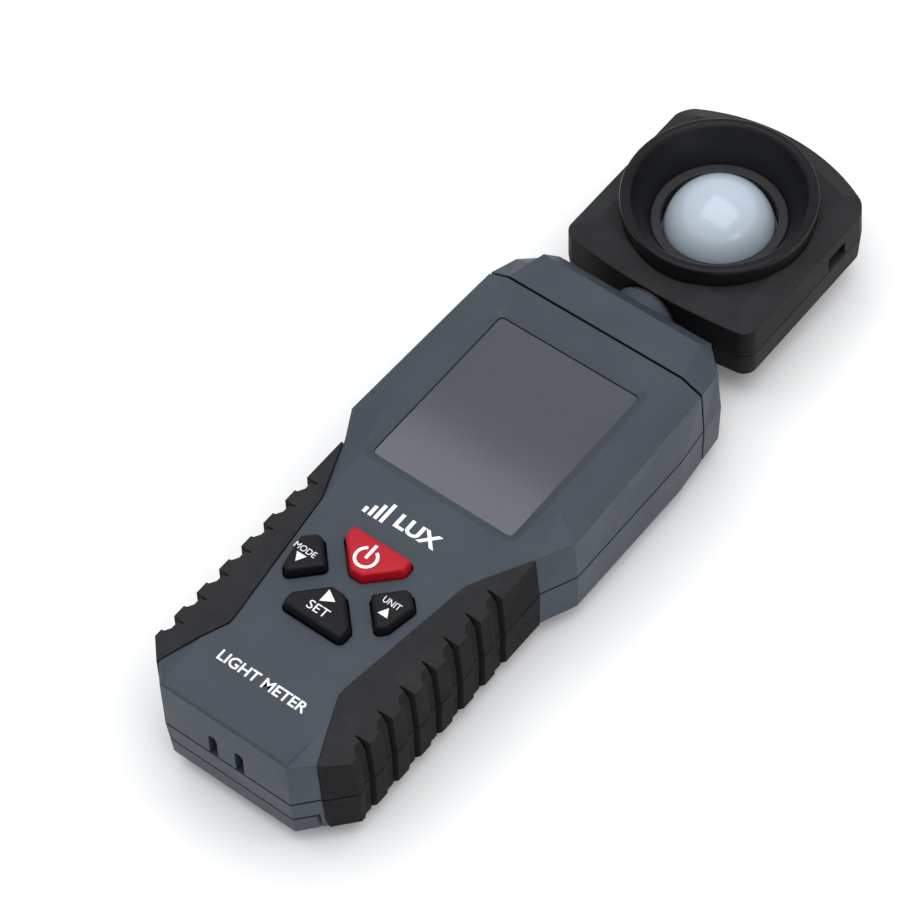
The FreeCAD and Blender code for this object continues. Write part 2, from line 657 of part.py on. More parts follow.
def neck_washer():
    gap = (HEAD_NEAR_Y - COLLAR_END_Y - WASHER_T) / 2.0
    return tube(6.0, SHAFT_R + 0.3, WASHER_T, V(0, COLLAR_END_Y + gap, AXIS_Z), V(0, 1, 0))


def thrust_washer():
    return tube(6.6, SHAFT_R + 0.3, 0.5, V(0, 29.3, AXIS_Z), V(0, 1, 0))


def lead_path(points, radius):
    # Round lead along straight runs joined by balls at the corners.
    pieces = []
    for start, end in zip(points[:-1], points[1:]):
        run = end - start
        pieces.append(cylinder(radius, run.Length, start, run))
    for corner in points[1:-1]:
        pieces.append(Part.makeSphere(radius, corner))
    return fuse(pieces)


def body_lead():
    plug_z = BOARD_Z1 + 2.2
    points = [
        V(0, 17.2, plug_z), V(0, 20.8, plug_z), V(0, 22.6, 15.2), V(0, 23.4, AXIS_Z), V(0, 25.3, AXIS_Z)]
    return lead_path(points, LEAD_R)


def head_lead():
    points = [V(0, 25.5, AXIS_Z), V(0, 44.6, AXIS_Z), V(0, 46.2, 11.6), V(0, 47.4, 11.0)]
    return lead_path(points, LEAD_R)


# ---- display and electronics ----------------------------------------------------------------------------
def display_window():
    half = WINDOW_W / 2.0 - 0.12
    wire = rounded_polygon(
        [(-half, WINDOW_Y0 + 0.12), (half, WINDOW_Y0 + 0.12), (half, WINDOW_Y1 - 0.12),
         (-half, WINDOW_Y1 - 0.12)], 0.8, WINDOW_TOP_Z - 1.2)
    return Part.Face(wire).extrude(V(0, 0, 1.2))


def window_gasket():
    half = WINDOW_W / 2.0 - 0.2
    z0 = WINDOW_TOP_Z - 1.45
    outer = box(-half, half, WINDOW_Y0 + 0.2, WINDOW_Y1 - 0.2, z0, z0 + 0.2)
    inner = box(-half + 1.5, half - 1.5, WINDOW_Y0 + 1.7, WINDOW_Y1 - 1.7, z0 - 0.1, z0 + 0.3)
    return outer.cut(inner)


LCD_Y0 = WINDOW_Y0 - 0.6
LCD_Y1 = WINDOW_Y1 + 0.5


def lcd_panel():
    return fuse([
        box(-15.0, 15.0, LCD_Y0, LCD_Y1, 20.9, 21.9),
        box(-15.0, 15.0, LCD_Y0 + 2.6, LCD_Y1 - 0.6, 21.9, 22.9)])


def lcd_frame():
    outer = box(-16.0, 16.0, LCD_Y0 - 0.7, LCD_Y1 + 0.7, BOARD_Z1, 22.6)
    glass = box(-15.1, 15.1, LCD_Y0 - 0.1, LCD_Y1 + 0.1, 20.8, 23.0)
    light = box(-14.0, 14.0, LCD_Y0 + 2.4, LCD_Y1 - 1.0, 17.0, 21.0)
    strip = box(-13.5, 13.5, LCD_Y0 + 0.1, LCD_Y0 + 1.9, 17.0, 21.0)
    return outer.cut(glass).cut(light).cut(strip)


def backlight():
    plate = box(-13.8, 13.8, LCD_Y0 + 2.6, LCD_Y1 - 1.2, 18.4, 20.7)
    feet = [box(x - 1.5, x + 1.5, y, y + 2.0, BOARD_Z1, 18.5) for x in (-11.0, 11.0) for y in (-18.0, 8.0)]
    return fuse([plate] + feet)


def zebra_strip():
    return box(-13.2, 13.2, LCD_Y0 + 0.3, LCD_Y0 + 1.7, BOARD_Z1, 20.85)


def main_board():
    board = box(-15.6, 15.6, -70.5, 19.3, BOARD_Z0, BOARD_Z1)
    for x, y in BOARD_SCREWS:
        board = board.cut(cylinder(1.0, 4.0, V(x, y, BOARD_Z0 - 1.0), V(0, 0, 1)))
    for side in (-1, 1):
        notch = box(14.0, 20.0, -71.0, -62.0, BOARD_Z0 - 1.0, BOARD_Z1 + 1.0)
        board = board.cut(notch if side > 0 else mirror_x(notch))
    return board


def chip(x, y, w, h, z, t):
    body = box(x - w / 2.0, x + w / 2.0, y - h / 2.0, y + h / 2.0, z, z + t)
    pins = []
    count = int(w / 1.2)
    for i in range(count):
        px = x - w / 2.0 + (i + 0.5) * w / count
        pins.append(box(px - 0.2, px + 0.2, y - h / 2.0 - 0.7, y + h / 2.0 + 0.7, z, z + 0.3))
    return fuse([body] + pins)


def board_chips():
    top = BOARD_Z1
    parts = [chip(0.0, -30.0, 9.0, 5.0, top, 1.4)]
    parts.append(chip(-10.0, -57.0, 5.0, 4.0, top, 1.2))
    parts.append(chip(10.0, -57.0, 5.0, 4.0, top, 1.2))
    parts.append(box(-3.2, 3.2, 16.4, 19.2, top, top + 0.8))
    return group(parts)


def lead_connector():
    shell = box(-3.0, 3.0, 16.6, 19.2, BOARD_Z1 + 0.85, BOARD_Z1 + 3.8)
    return shell.cut(cylinder(1.32, 4.0, V(0, 17.0, BOARD_Z1 + 2.2), V(0, 1, 0)))


def tact_switches():
    parts = []
    for name in KEYS:
        x, y = SWITCHES[name]
        case = box(x - 2.6, x + 2.6, y - 2.6, y + 2.6, BOARD_Z1, BOARD_Z1 + 3.0)
        plunger = cylinder(1.3, SWITCH_TOP_Z - BOARD_Z1 - 3.0, V(x, y, BOARD_Z1 + 3.0), V(0, 0, 1))
        parts.append(case.fuse(plunger))
    return group(parts)


def buzzer():
    drum = cylinder(4.5, 3.6, V(0, -66.0, BOARD_Z1), V(0, 0, 1))
    return drum.cut(cylinder(0.8, 2.0, V(0, -66.0, BOARD_Z1 + 2.6), V(0, 0, 1)))


def screw(x, y, seat_z, length, head_r, shank_r):
    # Pan-head screw driven upwards, with a cross recess; the top of its head bears at seat_z.
    up = V(0, 0, 1)
    head = cylinder(head_r, 1.1, V(x, y, seat_z - 1.1), up)
    shank = cylinder(shank_r, length - 0.8, V(x, y, seat_z), up)
    tip = Part.makeCone(shank_r, shank_r * 0.3, 0.8, V(x, y, seat_z + length - 0.8), up)
    body = fuse([head, shank, tip])
    arm = head_r * 0.62
    z0 = seat_z - 1.2
    z1 = seat_z - 0.5
    cross = box(x - arm, x + arm, y - 0.22, y + 0.22, z0, z1)
    cross = cross.fuse(box(x - 0.22, x + 0.22, y - arm, y + arm, z0, z1))
    return body.cut(cross)


def case_screws():
    parts = []
    for x in (-SCREW_X, SCREW_X):
        for y in SCREW_YS:
            parts.append(screw(x, y, CASE_SEAT_Z, 17.0, 1.9, SCREW_SHANK_R))
    return group(parts)


def board_screws():
    return group([screw(x, y, BOARD_Z0 - 0.02, 5.0, 1.5, 0.63) for x, y in BOARD_SCREWS])


# ---- battery compartment --------------------------------------------------------------------------------
PLUS_Y = BOTTOM_BULKHEAD_Y + 0.05 + CONTACT_T         # face of the contacts at the bottom end
MINUS_Y = SPRING_BULKHEAD_Y - 0.05 - CONTACT_T        # face of the contacts at the far end
SPRING_LENGTH = MINUS_Y - PLUS_Y - CELL_LENGTH - 0.1


def battery_cell(x, can_y, nub_y):
    can = cylinder(CELL_R, CELL_LENGTH - CELL_NUB, V(x, can_y, CELL_Z), V(0, 1, 0))
    rims = [edge for edge in can.Edges if edge.Curve.TypeId == "Part::GeomCircle"]
    can = can.makeFillet(0.5, rims)
    nub = cylinder(1.9, CELL_NUB + 0.1, V(x, nub_y, CELL_Z), V(0, 1, 0))
    return can.fuse(nub)


def battery_cells():
    # The middle cell is turned end for end.
    low = PLUS_Y + 0.05
    outer_can = low + CELL_NUB
    middle_can = MINUS_Y - 0.05 - CELL_LENGTH
    middle_nub = MINUS_Y - 0.05 - CELL_NUB - 0.1
    return group([
        battery_cell(-CELL_PITCH, outer_can, low),
        battery_cell(0.0, middle_can, middle_nub),
        battery_cell(CELL_PITCH, outer_can, low)])


def spring(x, y):
    # Coil along Y, built from short facets round the wire.
    radius = 2.6
    pitch = 1.1
    steps_per_turn = 14
    wire_sides = 6
    climb = SPRING_LENGTH - 2.0 * SPRING_WIRE_R
    steps = int(round(climb / pitch * steps_per_turn))
    rings = []
    for i in range(steps + 1):
        turn = 2.0 * math.pi * i / steps_per_turn
        along = y + SPRING_WIRE_R + climb * i / steps
        ring = []
        for k in range(wire_sides):
            round_wire = 2.0 * math.pi * k / wire_sides
            r = radius + SPRING_WIRE_R * math.cos(round_wire)
            reach = along + SPRING_WIRE_R * math.sin(round_wire)
            ring.append(V(x + r * math.cos(turn), reach, CELL_Z + r * math.sin(turn)))
        rings.append(ring)
    return faceted(rings)


def battery_springs():
    far = PLUS_Y + 0.05 + CELL_LENGTH
    return group([spring(-CELL_PITCH, far), spring(0.0, PLUS_Y), spring(CELL_PITCH, far)])


def battery_contacts():
    parts = []
    for i in (-1, 0, 1):
        x = i * CELL_PITCH
        parts.append(box(x - 3.4, x + 3.4, PLUS_Y - CONTACT_T, PLUS_Y, 4.2, 10.8))
        parts.append(box(x - 3.4, x + 3.4, MINUS_Y, MINUS_Y + CONTACT_T, 4.2, 10.8))
    return group(parts)


# ---- sensor head ----------------------------------------------------------------------------------------
def head_wire(half_w, near, near_bow, far, far_bow, corner, z):
    # Head outline: straight sides, bowed near and far edges, four rounded corners.
    near_side = near + near_bow
    far_side = far - far_bow
    inner = half_w - corner
    share = (inner / half_w) ** 2
    near_start = near + near_bow * share
    far_start = far - far_bow * share
    pinch = corner * 0.29
    right = [
        V(half_w, far_side - corner, z), V(half_w, near_side + corner, z),
        V(half_w - pinch, near_side + pinch, z), V(inner, near_start, z)]
    left = [V(-p.x, p.y, z) for p in reversed(right)]
    far_left = [V(-half_w + pinch, far_side - pinch, z), V(-inner, far_start, z)]
    far_right = [V(inner, far_start, z), V(half_w - pinch, far_side - pinch, z)]
    edges = [
        Part.LineSegment(right[0], right[1]).toShape(),
        Part.Arc(right[1], right[2], right[3]).toShape(),
        Part.Arc(right[3], V(0, near, z), left[0]).toShape(),
        Part.Arc(left[0], left[1], left[2]).toShape(),
        Part.LineSegment(left[2], left[3]).toShape(),
        Part.Arc(left[3], far_left[0], far_left[1]).toShape(),
        Part.Arc(far_left[1], V(0, far, z), far_right[0]).toShape(),
        Part.Arc(far_right[0], far_right[1], right[0]).toShape()]
    return Part.Wire(edges)


def head_level(inset, z):
    corner = max(HEAD_CORNER - inset * 0.35, 1.2)
    return head_wire(
        HEAD_HALF_W - inset, HEAD_NEAR_Y + inset, HEAD_NEAR_BOW, HEAD_FAR_Y - inset, HEAD_FAR_BOW, corner, z)


def head_flat(inset, z):
    return head_wire(
        FLAT_HALF_W - inset, FLAT_NEAR_Y + inset, 0.9, FLAT_FAR_Y - inset, 2.8, 0.45, z)


def head_block(inset):
    # Whole head: bevelled back, upright sides, sloping shoulders and flat top.
    levels = [
        head_level(2.4 + inset * 0.6, HEAD_REAR_Z + inset),
        head_level(0.35 + inset, HEAD_LOW_Z + inset * 0.5),
        head_level(inset, HEAD_PARTING_Z),
        head_level(0.15 + inset, HEAD_CREASE_Z - inset * 0.6),
        head_flat(inset * 0.3, HEAD_TOP_Z - inset)]
    slabs = []
    for low, high in zip(levels[:-1], levels[1:]):
        slabs.append(Part.makeLoft([low, high], True, True))
    return fuse(slabs)


def head_groove():
    slab = box(-BIG, BIG, 30.0, BIG, HEAD_PARTING_Z - 0.15, HEAD_PARTING_Z + 0.15)
    inner = Part.Face(head_level(0.4, HEAD_PARTING_Z - 1.0)).extrude(V(0, 0, 2.0))
    return slab.cut(inner)


HEAD_OUTER = head_block(0.0)
HEAD_INNER = head_block(HEAD_WALL)
HEAD_GROOVE = head_groove()
HEAD_SCREWS = [(16.2, 46.6), (-16.2, 46.6), (16.2, 72.4), (-16.2, 72.4)]
HEAD_BOSS_R = 2.3
HEAD_RECESS_R = 1.95
HEAD_SEAT = 2.1               # depth of the seats of the head screws below the back of the head
LATCH_Y0 = 64.4
LATCH_Y1 = 69.6
SHELL_HOLE_R = 16.6           # hole in the flat top under the bowl


def neck_hole():
    return cylinder(SHAFT_R + 0.03, 5.0, V(0, HEAD_NEAR_Y - 1.0, AXIS_Z), V(0, 1, 0))


def head_front_shell():
    top = HEAD_OUTER.common(box(-BIG, BIG, -BIG, BIG, HEAD_PARTING_Z + SEAM / 2.0, BIG))
    shell = top.cut(HEAD_INNER)
    bosses = []
    for x, y in HEAD_SCREWS:
        bosses.append(cylinder(HEAD_BOSS_R, 7.0, V(x, y, HEAD_PARTING_Z + SEAM / 2.0), V(0, 0, 1)))
    shell = fuse([shell] + bosses).common(top)
    shell = shell.cut(cylinder(SHELL_HOLE_R, 20.0, V(0, BOWL_Y, 10.0), V(0, 0, 1)))
    shell = shell.cut(neck_hole())
    shell = shell.cut(box(18.0, 30.0, LATCH_Y0, LATCH_Y1, HEAD_PARTING_Z + 0.4, HEAD_PARTING_Z + 3.6))
    shell = shell.cut(cylinder(SKIRT_R + 0.15, 5.0, V(0, BOWL_Y, SKIRT_FOOT_Z - 0.05), V(0, 0, 1)))
    for x, y in HEAD_SCREWS:
        shell = shell.cut(cylinder(PILOT_R, 5.0, V(x, y, HEAD_PARTING_Z - 0.1), V(0, 0, 1)))
    return shell.cut(HEAD_GROOVE)


def head_rear_shell():
    low = HEAD_OUTER.common(box(-BIG, BIG, -BIG, BIG, -BIG, HEAD_PARTING_Z - SEAM / 2.0))
    shell = low.cut(HEAD_INNER)
    bosses = []
    for x, y in HEAD_SCREWS:
        bosses.append(cylinder(HEAD_BOSS_R, 7.4, V(x, y, HEAD_REAR_Z + 0.1), V(0, 0, 1)))
    post = SENSOR_BOARD_Z - HEAD_REAR_Z - 1.0
    for x, y in SENSOR_POSTS:
        bosses.append(cylinder(1.2, post, V(x, y, HEAD_REAR_Z + 1.0), V(0, 0, 1)))
    shell = fuse([shell] + bosses).common(low)
    shell = shell.cut(neck_hole())
    for x, y in HEAD_SCREWS:
        shell = shell.cut(cylinder(HEAD_RECESS_R, HEAD_SEAT + 0.1, V(x, y, HEAD_REAR_Z - 0.1), V(0, 0, 1)))
        shell = shell.cut(cylinder(CLEARANCE_R - 0.05, 12.0, V(x, y, HEAD_REAR_Z - 0.1), V(0, 0, 1)))
    return shell.cut(HEAD_GROOVE)


def head_latch():
    # Sprung catch that shows in the small window on the right side of the head.
    y0 = LATCH_Y0 + 0.35
    y1 = LATCH_Y1 - 0.35
    plate = box(17.8, 18.75, y0, y1, HEAD_PARTING_Z - 3.5, HEAD_PARTING_Z + 3.2)
    hook = box(18.7, 19.5, y0, y1, HEAD_PARTING_Z + 0.8, HEAD_PARTING_Z + 2.2)
    return fuse([plate, hook])


def light_shade():
    # Flared bowl: thin cone inside, skirt outside, neck down to the dome ring.
    profile = [
        (RING_R, RING_Z), (RING_R + 0.15, RING_Z + 0.3), (16.3, RIM_Z - 0.45), (16.75, RIM_Z - 0.1),
        (17.2, RIM_Z), (17.8, RIM_Z), (18.2, RIM_Z - 0.2), (RIM_R, RIM_Z - 0.6), (RIM_R, RIM_Z - 1.1),
        (SKIRT_R, SKIRT_FOOT_Z), (16.1, SKIRT_FOOT_Z), (16.5, RIM_Z - 2.0), (16.2, RIM_Z - 2.0),
        (14.6, RING_Z + 1.0), (14.6, RING_FOOT_Z), (RING_R, RING_FOOT_Z)]
    return revolve_z(profile, 0.0, BOWL_Y)


def dome_ring():
    # Flat ring round the foot of the dome; its bore runs down close beside the dome.
    outer_r = RING_R - 0.1
    profile = [
        (RING_HOLE_R, RING_FOOT_Z), (RING_HOLE_R, RING_Z - 0.15), (RING_HOLE_R + 0.2, RING_Z),
        (outer_r, RING_Z), (outer_r, RING_FOOT_Z)]
    return revolve_z(profile, 0.0, BOWL_Y)


def diffuser_dome():
    centre = V(0, BOWL_Y, DOME_Z)
    outside = Part.makeSphere(DOME_R, centre, V(0, 0, 1), 0, 90, 360)
    skirt = cylinder(DOME_R, 1.4, V(0, BOWL_Y, DOME_Z - 1.4), V(0, 0, 1))
    flange = cylinder(12.3, 1.0, V(0, BOWL_Y, DOME_Z - 1.4), V(0, 0, 1))
    inside = Part.makeSphere(DOME_R - 1.3, centre, V(0, 0, 1), 0, 90, 360)
    well = cylinder(DOME_R - 1.3, 1.5, V(0, BOWL_Y, DOME_Z - 1.45), V(0, 0, 1))
    return fuse([outside, skirt, flange]).cut(inside).cut(well)


SENSOR_POSTS = [(-7.4, 52.0), (7.4, 52.0), (-7.4, 66.8), (7.4, 66.8)]
SENSOR_BOARD_Z = 7.95


def sensor_board():
    return cylinder(12.4, 1.2, V(0, BOWL_Y, SENSOR_BOARD_Z), V(0, 0, 1))


def photodiode():
    case = cylinder(4.0, 1.5, V(0, BOWL_Y, 9.2), V(0, 0, 1))
    window = cylinder(2.6, 0.2, V(0, BOWL_Y, 10.7), V(0, 0, 1))
    return case.fuse(window)


def filter_holder():
    # Post ring that carries the colour filter under the dome and keeps the dome up.
    profile = [
        (4.3, 9.2), (11.8, 9.2), (11.8, DOME_Z - 1.45), (10.2, DOME_Z - 1.45), (10.2, 10.4), (5.2, 10.4),
        (5.2, 11.2), (4.3, 11.2)]
    holder = revolve_z(profile, 0.0, BOWL_Y)
    return holder.cut(box(-2.0, 2.0, 44.0, 50.5, 9.1, 14.0))


def colour_filter():
    return cylinder(5.1, 0.9, V(0, BOWL_Y, 11.25), V(0, 0, 1))


def head_screws():
    parts = []
    for x, y in HEAD_SCREWS:
        parts.append(screw(x, y, HEAD_REAR_Z + HEAD_SEAT - 0.02, 9.5, 1.75, SCREW_SHANK_R))
    return group(parts)


# ---- build ----------------------------------------------------------------------------------------------
def build():
    os.makedirs("parts", exist_ok=True)
    save("front_cover", front_cover())
    save("rear_cover", rear_cover())
    save("top_cap", top_cap())
    right_front = grip_right(True)
    right_rear = grip_right(False)
    save("grip_right_front", right_front)
    save("grip_left_front", mirror_x(right_front))
    save("grip_right_rear", right_rear)
    save("grip_left_rear", mirror_x(right_rear))
    save("battery_door", battery_door())
    for name in KEYS:
        save(name, key(name))
    save("display_window", display_window())
    save("window_gasket", window_gasket())
    save("lcd_panel", lcd_panel())
    save("lcd_frame", lcd_frame())
    save("backlight", backlight())
    save("zebra_strip", zebra_strip())
    save("main_board", main_board())
    save("board_chips", board_chips())
    save("lead_connector", lead_connector())
    save("tact_switches", tact_switches())
    save("buzzer", buzzer())
    save("case_screws", case_screws())
    save("board_screws", board_screws())
    save("battery_cells", battery_cells())
    save("battery_springs", battery_springs())
    save("battery_contacts", battery_contacts())
    save("neck_bush", neck_bush())
    save("neck_shaft", neck_shaft())
    save("stop_plate", stop_plate())
    save("retaining_clip", retaining_clip())
    save("neck_washer", neck_washer())
    save("thrust_washer", thrust_washer())
    save("body_lead", body_lead())
    save("head_lead", head_lead())
    save("head_front_shell", head_front_shell())
    save("head_rear_shell", head_rear_shell())
    save("head_latch", head_latch())
    save("light_shade", light_shade())
    save("dome_ring", dome_ring())
    save("diffuser_dome", diffuser_dome())
    save("filter_holder", filter_holder())
    save("colour_filter", colour_filter())
    save("photodiode", photodiode())
    save("sensor_board", sensor_board())
    save("head_screws", head_screws())


build()
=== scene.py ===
import math

import bpy
from mathutils import Matrix, Vector


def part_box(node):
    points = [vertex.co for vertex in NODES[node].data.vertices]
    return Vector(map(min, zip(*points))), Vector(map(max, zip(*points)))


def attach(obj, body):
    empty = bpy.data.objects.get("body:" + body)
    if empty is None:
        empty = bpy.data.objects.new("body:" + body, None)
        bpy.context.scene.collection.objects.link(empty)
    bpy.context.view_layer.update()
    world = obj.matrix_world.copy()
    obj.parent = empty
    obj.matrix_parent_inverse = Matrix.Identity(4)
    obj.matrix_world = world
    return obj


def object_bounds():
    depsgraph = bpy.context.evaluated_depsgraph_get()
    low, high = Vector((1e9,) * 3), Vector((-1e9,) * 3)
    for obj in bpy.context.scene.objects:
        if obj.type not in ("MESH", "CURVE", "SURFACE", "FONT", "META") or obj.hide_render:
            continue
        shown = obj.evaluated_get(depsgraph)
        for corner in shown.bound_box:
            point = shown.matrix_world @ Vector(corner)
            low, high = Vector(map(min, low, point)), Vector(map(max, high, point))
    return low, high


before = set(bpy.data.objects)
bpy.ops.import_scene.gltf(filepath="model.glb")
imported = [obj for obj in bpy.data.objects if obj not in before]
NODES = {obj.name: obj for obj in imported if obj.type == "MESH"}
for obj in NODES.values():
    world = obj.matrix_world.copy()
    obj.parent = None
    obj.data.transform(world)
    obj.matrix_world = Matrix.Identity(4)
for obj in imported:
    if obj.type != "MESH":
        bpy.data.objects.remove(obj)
CAD_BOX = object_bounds()
MM = 0.001

CAMERA_PLACE = (0.27614, -0.32313, 0.60236)
CAMERA_RIGHT = (0.7843, 0.6181, -0.0530)
CAMERA_DOWN = (0.4788, -0.6574, -0.5819)
LENS = 159.7
LENS_SHIFT = (0.0162, 0.0047)
FLOOR_HALF = 3.0
FLOOR_GAP = 0.0002            # how far the floor lies below the object


# ---- camera: three-quarter view from above the lanyard end ----------------------------------------------
def add_camera():
    right = Vector(CAMERA_RIGHT)
    down = Vector(CAMERA_DOWN)
    forward = right.cross(down).normalized()
    right = down.cross(forward).normalized()
    data = bpy.data.cameras.new("camera")
    data.sensor_width = 36.0
    data.lens = LENS
    data.shift_x, data.shift_y = LENS_SHIFT
    data.clip_end = 20.0
    cam = bpy.data.objects.new("camera", data)
    turn = Matrix((right, -down, -forward)).transposed().to_4x4()
    cam.matrix_world = Matrix.Translation(Vector(CAMERA_PLACE)) @ turn
    bpy.context.scene.collection.objects.link(cam)
    bpy.context.scene.camera = cam


# ---- light and floor ------------------------------------------------------------------------------------
def area_light(name, place, target, size_x, size_y, power):
    data = bpy.data.lights.new(name, "AREA")
    data.shape = "RECTANGLE"
    data.size = size_x
    data.size_y = size_y
    data.energy = power
    obj = bpy.data.objects.new(name, data)
    obj.location = place
    aim = Vector(target) - Vector(place)
    obj.rotation_euler = aim.to_track_quat("-Z", "Y").to_euler()
    bpy.context.scene.collection.objects.link(obj)


def add_studio():
    world = bpy.data.worlds.new("studio")
    bpy.context.scene.world = world
    world.use_nodes = True
    background = world.node_tree.nodes["Background"]
    background.inputs["Color"].default_value = (0.96, 0.98, 1.0, 1.0)
    background.inputs["Strength"].default_value = 0.74
    area_light("overhead_softbox", (0.05, 0.02, 1.05), (0.05, 0.02, 0.0), 1.30, 1.04, 8.2)
    area_light("right_fill", (1.0, -0.25, 0.45), (0.0, 0.0, 0.0), 0.5, 0.5, 1.1)
    bpy.context.scene.view_settings.view_transform = "Standard"
    add_floor()


def add_floor():
    s = FLOOR_HALF
    mesh = bpy.data.meshes.new("floor")
    mesh.from_pydata([(-s, -s, 0), (s, -s, 0), (s, s, 0), (-s, s, 0)], [], [(0, 1, 2, 3)])
    mesh.materials.append(paper_material())
    floor = bpy.data.objects.new("floor", mesh)
    floor.location = (0, 0, CAD_BOX[0][2] - FLOOR_GAP)
    bpy.context.scene.collection.objects.link(floor)


# ---- materials ------------------------------------------------------------------------------------------
# Pale grey for the dust film, which also paints top-facing faces paler as painted top light.
DUST_AND_TOP_LIGHT = (0.160, 0.163, 0.170)
# Near-black colour for the painted shade in gaps and grooves.
CREVICE_SHADE = (0.0012, 0.0012, 0.0014)
CREVICE_SHADE_REACH = 0.0009           # how far apart the walls of a gap may be and still get painted shade
BODY_BLUE = (0.0320, 0.0440, 0.0580)
HEAD_BLACK = (0.0088, 0.0090, 0.0100)
GRIP_BLACK = (0.0100, 0.0100, 0.0110)
SHADE_BLACK = (0.0062, 0.0064, 0.0074)
RING_GREY = (0.017, 0.017, 0.020)
KEY_RED = (0.40, 0.004, 0.014)
KEY_BLACK = (0.0060, 0.0062, 0.0075)
WHITE = (0.62, 0.62, 0.60)
NYLON = (0.55, 0.50, 0.40)
STEEL = (0.52, 0.52, 0.54)
ALUMINIUM = (0.62, 0.62, 0.64)
DISPLAY_START = -0.0229       # the window's ends, along Y
DISPLAY_END = 0.0142


def scaled(colour, factor, lift=0.0):
    return tuple(channel * factor + lift for channel in colour)


class Shade:
    """A Principled material with object-space coordinates and helpers for its nodes."""

    def __init__(self, name, rough=0.5, metallic=0.0, specular=0.5, coat=0.0, coat_rough=0.1, ior=1.45):
        self.mat = bpy.data.materials.new(name)
        self.mat.use_nodes = True
        self.tree = self.mat.node_tree
        self.bsdf = self.tree.nodes["Principled BSDF"]
        self.bsdf.inputs["Roughness"].default_value = rough
        self.bsdf.inputs["Metallic"].default_value = metallic
        self.bsdf.inputs["Specular IOR Level"].default_value = specular
        self.bsdf.inputs["Coat Weight"].default_value = coat
        self.bsdf.inputs["Coat Roughness"].default_value = coat_rough
        self.bsdf.inputs["IOR"].default_value = ior
        self.coord = self.node("ShaderNodeTexCoord").outputs["Object"]

    def node(self, kind, **values):
        made = self.tree.nodes.new(kind)
        for key, value in values.items():
            setattr(made, key, value)
        return made

    def link(self, a, b):
        self.tree.links.new(a, b)

    def noise(self, scale, detail=3.0, rough=0.55, stretch=None):
        source = self.coord
        if stretch:
            mapping = self.node("ShaderNodeMapping")
            mapping.inputs["Scale"].default_value = stretch
            self.link(source, mapping.inputs["Vector"])
            source = mapping.outputs["Vector"]
        made = self.node("ShaderNodeTexNoise")
        made.inputs["Scale"].default_value = scale
        made.inputs["Detail"].default_value = detail
        made.inputs["Roughness"].default_value = rough
        self.link(source, made.inputs["Vector"])
        return made.outputs["Fac"]

    def ramp(self, value, stops):
        made = self.node("ShaderNodeValToRGB")
        ramp = made.color_ramp
        while len(ramp.elements) < len(stops):
            ramp.elements.new(0.5)
        for element, (place, colour) in zip(ramp.elements, stops):
            element.position = place
            element.color = (*colour, 1.0) if len(colour) == 3 else colour
        self.link(value, made.inputs["Fac"])
        return made.outputs["Color"]

    def remap(self, value, low, high, to_low, to_high):
        made = self.node("ShaderNodeMapRange")
        made.inputs["From Min"].default_value = low
        made.inputs["From Max"].default_value = high
        made.inputs["To Min"].default_value = to_low
        made.inputs["To Max"].default_value = to_high
        self.link(value, made.inputs["Value"])
        return made.outputs["Result"]

    def along(self, axis, low, high):
        # Runs from 0 to 1 between two places on one axis of the object.
        split = self.node("ShaderNodeSeparateXYZ")
        self.link(self.coord, split.inputs[0])
        return self.remap(split.outputs[axis], low, high, 0.0, 1.0)

    def math(self, operation, a, b):
        made = self.node("ShaderNodeMath", operation=operation)
        for i, value in enumerate((a, b)):
            if isinstance(value, (int, float)):
                made.inputs[i].default_value = value
            else:
                self.link(value, made.inputs[i])
        return made.outputs["Value"]

    def mix(self, factor, a, b):
        made = self.node("ShaderNodeMix", data_type="RGBA")
        for socket, value in ((made.inputs[0], factor), (made.inputs[6], a), (made.inputs[7], b)):
            if isinstance(value, (int, float)):
                socket.default_value = value
            elif isinstance(value, tuple):
                socket.default_value = (*value, 1.0) if len(value) == 3 else value
            else:
                self.link(value, socket)
        return made.outputs[2]

    def rounded_normal(self, radius):
        made = self.node("ShaderNodeBevel", samples=4)
        made.inputs["Radius"].default_value = radius
        return made.outputs["Normal"]

    def edge_wear_and_highlight_mask(self, radius, low, high):
        # High where the rounded normal turns away from the true one, so along the edges, which carry wear
        # and a painted edge highlight.
        soft = self.rounded_normal(radius)
        true = self.node("ShaderNodeNewGeometry").outputs["True Normal"]
        dot = self.node("ShaderNodeVectorMath", operation="DOT_PRODUCT")
        self.link(soft, dot.inputs[0])
        self.link(true, dot.inputs[1])
        turned = self.math("SUBTRACT", 1.0, dot.outputs["Value"])
        return self.remap(turned, low, high, 0.0, 1.0)

    def dust_film_and_top_light(self, base, amount):
        # Thin uneven dust film together with painted top light: faces that look out of the front of the
        # object are painted paler.
        split = self.node("ShaderNodeSeparateXYZ")
        self.link(self.node("ShaderNodeTexCoord").outputs["Normal"], split.inputs[0])
        facing = self.remap(split.outputs["Z"], 0.3, 0.9, 0.0, 1.0)
        patches = self.remap(self.noise(170.0, 4.0, 0.65), 0.3, 0.7, amount * 0.8, amount * 1.2)
        return self.mix(self.math("MULTIPLY", facing, patches), base, DUST_AND_TOP_LIGHT)

    def painted_crevice_shade(self, base, reach):
        # Painted shade: narrow gaps and grooves are darkened towards near-black by their ambient occlusion.
        nook = self.node("ShaderNodeAmbientOcclusion", samples=6)
        nook.inputs["Distance"].default_value = reach
        depth = self.remap(nook.outputs["AO"], 0.25, 0.62, 0.88, 0.0)
        return self.mix(depth, base, CREVICE_SHADE)

    def bump(self, height, strength, distance, radius=0.0):
        made = self.node("ShaderNodeBump")
        made.inputs["Strength"].default_value = strength
        made.inputs["Distance"].default_value = distance
        self.link(height, made.inputs["Height"])
        if radius:
            self.link(self.rounded_normal(radius), made.inputs["Normal"])
        self.link(made.outputs["Normal"], self.bsdf.inputs["Normal"])

    def colour(self, value):
        self.link(value, self.bsdf.inputs["Base Color"])

    def rough(self, value):
        self.link(value, self.bsdf.inputs["Roughness"])


